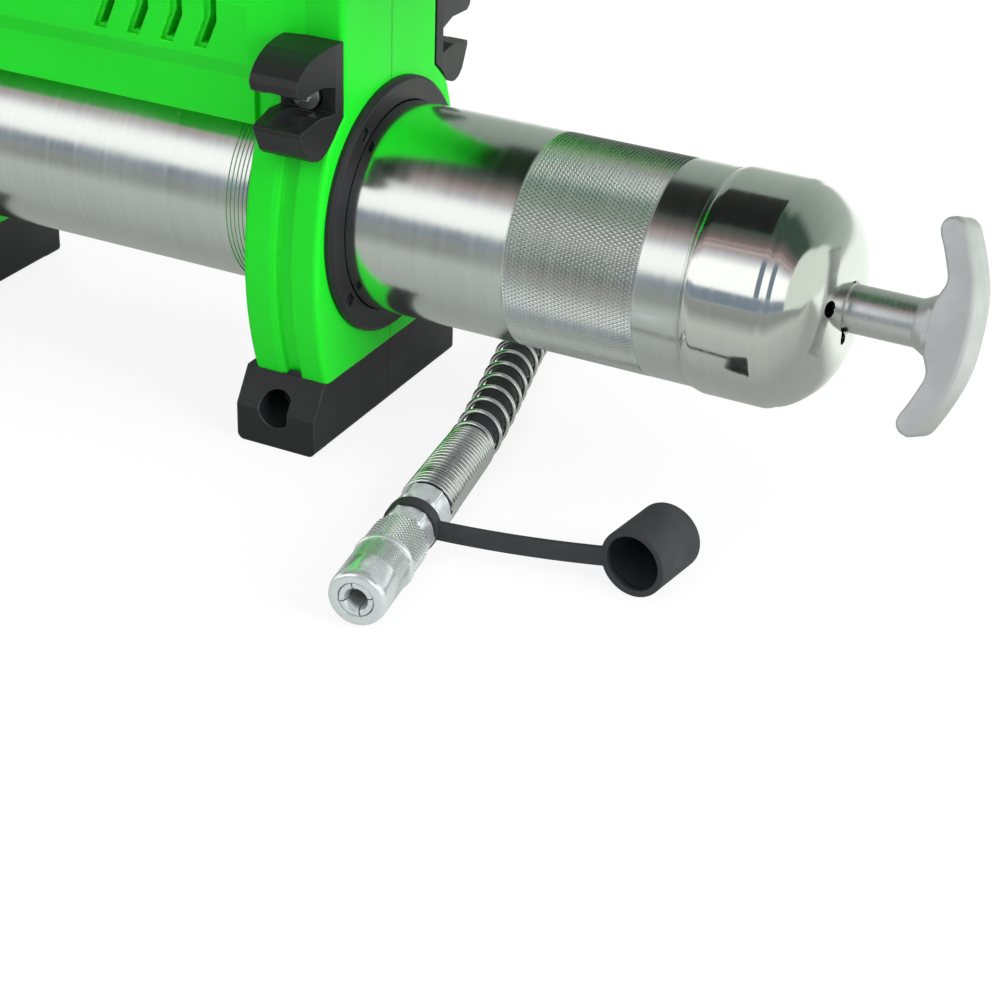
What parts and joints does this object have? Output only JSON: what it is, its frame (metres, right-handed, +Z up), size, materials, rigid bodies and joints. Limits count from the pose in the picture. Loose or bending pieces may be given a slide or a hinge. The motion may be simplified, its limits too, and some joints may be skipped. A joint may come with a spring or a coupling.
{
  "type": "cordless grease gun",
  "caption": "Battery grease gun on two feet: steel barrel with T-handle follower, moulded housing with hose clips, hose with four-jaw coupler and dust cap",
  "frame": {"origin": "on the floor under the barrel's axis, at the middle of the rear foot's sole", "axes": "+X to the rear, towards the T-handle; +Y to the gun's right side as seen from behind the camera's far side; +Z up"},
  "size_m": [0.475, 0.2644, 0.2154],
  "materials": {
    "zinc_steel": "bright zinc plating over a turned surface",
    "bright_steel": "bright drawn and pressed steel, lightly brushed",
    "cast_aluminium": "satin die casting, fine grain",
    "black_steel": "black oxide",
    "green_plastic": "bright green moulded plastic, satin sheen",
    "black_plastic": "black glass-filled plastic, fine texture",
    "black_rubber": "matt black rubber",
    "clear_lens": "clear lamp lens"
  },
  "bodies": {
    "gun": {"housing_left": "green_plastic", "housing_right": "green_plastic", "bezel_ring": "black_plastic", "rear_foot_left": "black_plastic", "rear_foot_right": "black_plastic", "front_foot_left": "black_plastic", "front_foot_right": "black_plastic", "clip_left": "black_plastic", "clip_right": "black_plastic", "clip_screws": "black_steel", "housing_screws": "black_steel", "motor": "bright_steel", "gearbox": "cast_aluminium", "grip_cover": "black_rubber", "lamp_lens": "clear_lens", "pump_head": "cast_aluminium", "plunger_plug": "zinc_steel", "relief_valve": "zinc_steel", "loader_fitting": "zinc_steel", "outlet_fitting": "zinc_steel", "head_bolts": "bright_steel", "hose_ferrule": "zinc_steel", "hose": "black_rubber", "hose_nut": "zinc_steel", "coupler_body": "zinc_steel", "coupler_jaws": "bright_steel", "dust_cap": "black_rubber", "hose_guard": "bright_steel", "barrel_gasket": "black_rubber"},
    "barrel": {"barrel_tube": "zinc_steel", "end_cap": "bright_steel", "follower_spring": "bright_steel"},
    "rod": {"follower_rod": "bright_steel", "t_handle": "cast_aluminium"},
    "follower": {"follower_plate_disc": "bright_steel", "follower_rubber": "black_rubber"},
    "bleeder": {"air_bleeder": "zinc_steel"},
    "trigger": {"trigger": "black_plastic"},
    "lock": {"lock_button": "black_plastic"},
    "battery": {"battery_pack": "black_plastic"},
    "latch": {"battery_latch": "green_plastic"},
    "sleeve": {"coupler_sleeve": "zinc_steel"}
  },
  "joints": [
    {"name": "barrel_unscrew", "type": "hinge", "parent": "gun", "child": "barrel", "pos_m": [0, 0, 0.0603], "axis": [1, 0, 0], "range_deg": [0, 1440]},
    {"name": "rod_pull", "type": "slide", "parent": "barrel", "child": "rod", "axis": [1, 0, 0], "range_m": [0, 0.2]},
    {"name": "follower_travel", "type": "slide", "parent": "barrel", "child": "follower", "axis": [1, 0, 0], "range_m": [-0.2, 0], "deforming": ["follower_spring"]},
    {"name": "bleeder_turn", "type": "hinge", "parent": "gun", "child": "bleeder", "pos_m": [-0.17153, -0.023, 0.0963], "axis": [0, -1, 0], "range_deg": [0, 360]},
    {"name": "trigger_press", "type": "slide", "parent": "gun", "child": "trigger", "axis": [-0.1307, 0, 0.9914], "range_m": [0, 0.005], "stiffness_N_per_m": 600},
    {"name": "lock_slide", "type": "slide", "parent": "gun", "child": "lock", "axis": [0, 1, 0], "range_m": [-0.003, 0.003]},
    {"name": "battery_slide", "type": "slide", "parent": "gun", "child": "battery", "axis": [1, 0, 0], "range_m": [0, 0.09]},
    {"name": "latch_press", "type": "slide", "parent": "battery", "child": "latch", "axis": [-1, 0, 0], "range_m": [0, 0.0022], "stiffness_N_per_m": 600},
    {"name": "sleeve_turn", "type": "hinge", "parent": "gun", "child": "sleeve", "pos_m": [0.0646, -0.1063, 0.008], "axis": [0.1512, -0.9885, 0], "range_deg": [-180, 180]}
  ]
}
